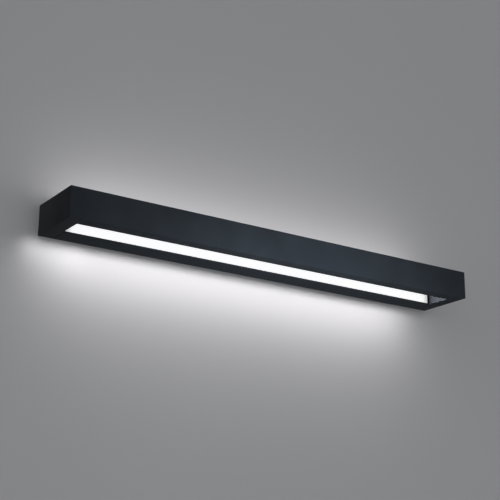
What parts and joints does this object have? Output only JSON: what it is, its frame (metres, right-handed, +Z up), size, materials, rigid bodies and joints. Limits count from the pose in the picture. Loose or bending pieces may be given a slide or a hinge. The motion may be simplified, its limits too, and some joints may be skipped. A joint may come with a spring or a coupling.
{
  "type": "vanity light bar",
  "caption": "Wall light bar: open black rectangular frame, mitred at the front, with a white glowing strip in its rear spine, clamped over a wall bracket.",
  "frame": {"origin": "on the wall plane, at the centre of the wall bracket's back face", "axes": "+X right along the bar, +Y into the wall, +Z up"},
  "size_m": [0.686, 0.096, 0.043],
  "materials": {
    "black_coat": "fine matte powder coat on aluminium",
    "galvanised_steel": "zinc-plated sheet",
    "zinc_screw": "zinc-plated",
    "black_screw": "black oxide",
    "green_screw": "green-dyed zinc",
    "mill_aluminium": "mill finish",
    "opal_plastic": "opal, lit from behind",
    "black_rubber": "soft matte",
    "white_board": "white solder mask",
    "led_phosphor": "phosphor gel",
    "white_plastic": "moulded",
    "white_film": "diffuse white film",
    "driver_plastic": "moulded, fine texture",
    "tinned_brass": "tinned",
    "black_insulation": "insulation",
    "white_insulation": "insulation",
    "green_insulation": "insulation",
    "red_insulation": "insulation"
  },
  "bodies": {
    "bracket": {"wall_bracket": "galvanised_steel", "bracket_ground_screw": "green_screw"},
    "light_bar": {"front_bar": "black_coat", "left_end_bar": "black_coat", "right_end_bar": "black_coat", "rear_spine": "black_coat", "left_end_plate": "black_coat", "right_end_plate": "black_coat", "end_plate_screws": "zinc_screw", "joint_screws": "zinc_screw", "board_screws": "zinc_screw", "driver_screws": "zinc_screw", "block_screws": "zinc_screw", "ground_screw": "green_screw", "left_corner_key": "mill_aluminium", "right_corner_key": "mill_aluminium", "left_end_insert": "mill_aluminium", "right_end_insert": "mill_aluminium", "diffuser": "opal_plastic", "left_lens_seal": "black_rubber", "right_lens_seal": "black_rubber", "lead_grommet": "black_rubber", "left_led_board": "white_board", "right_led_board": "white_board", "led_chips": "led_phosphor", "board_link": "white_plastic", "board_connector": "white_plastic", "terminal_block": "white_plastic", "reflector_strips": "white_film", "driver_case": "driver_plastic", "driver_lid": "driver_plastic", "ground_lug": "tinned_brass", "line_lead": "black_insulation", "led_negative_lead": "black_insulation", "neutral_lead": "white_insulation", "ground_lead": "green_insulation", "led_positive_lead": "red_insulation"},
    "left_screw": {"left_locking_screw": "black_screw"},
    "right_screw": {"right_locking_screw": "black_screw"}
  },
  "joints": [
    {"name": "bar_pull_off", "type": "slide", "parent": "bracket", "child": "light_bar", "axis": [0, -1, 0], "range_m": [0, 0.05]},
    {"name": "left_screw_back_out", "type": "slide", "parent": "light_bar", "child": "left_screw", "axis": [0, 0, 1], "range_m": [0, 0.004]},
    {"name": "right_screw_back_out", "type": "slide", "parent": "light_bar", "child": "right_screw", "axis": [0, 0, 1], "range_m": [0, 0.004]}
  ]
}
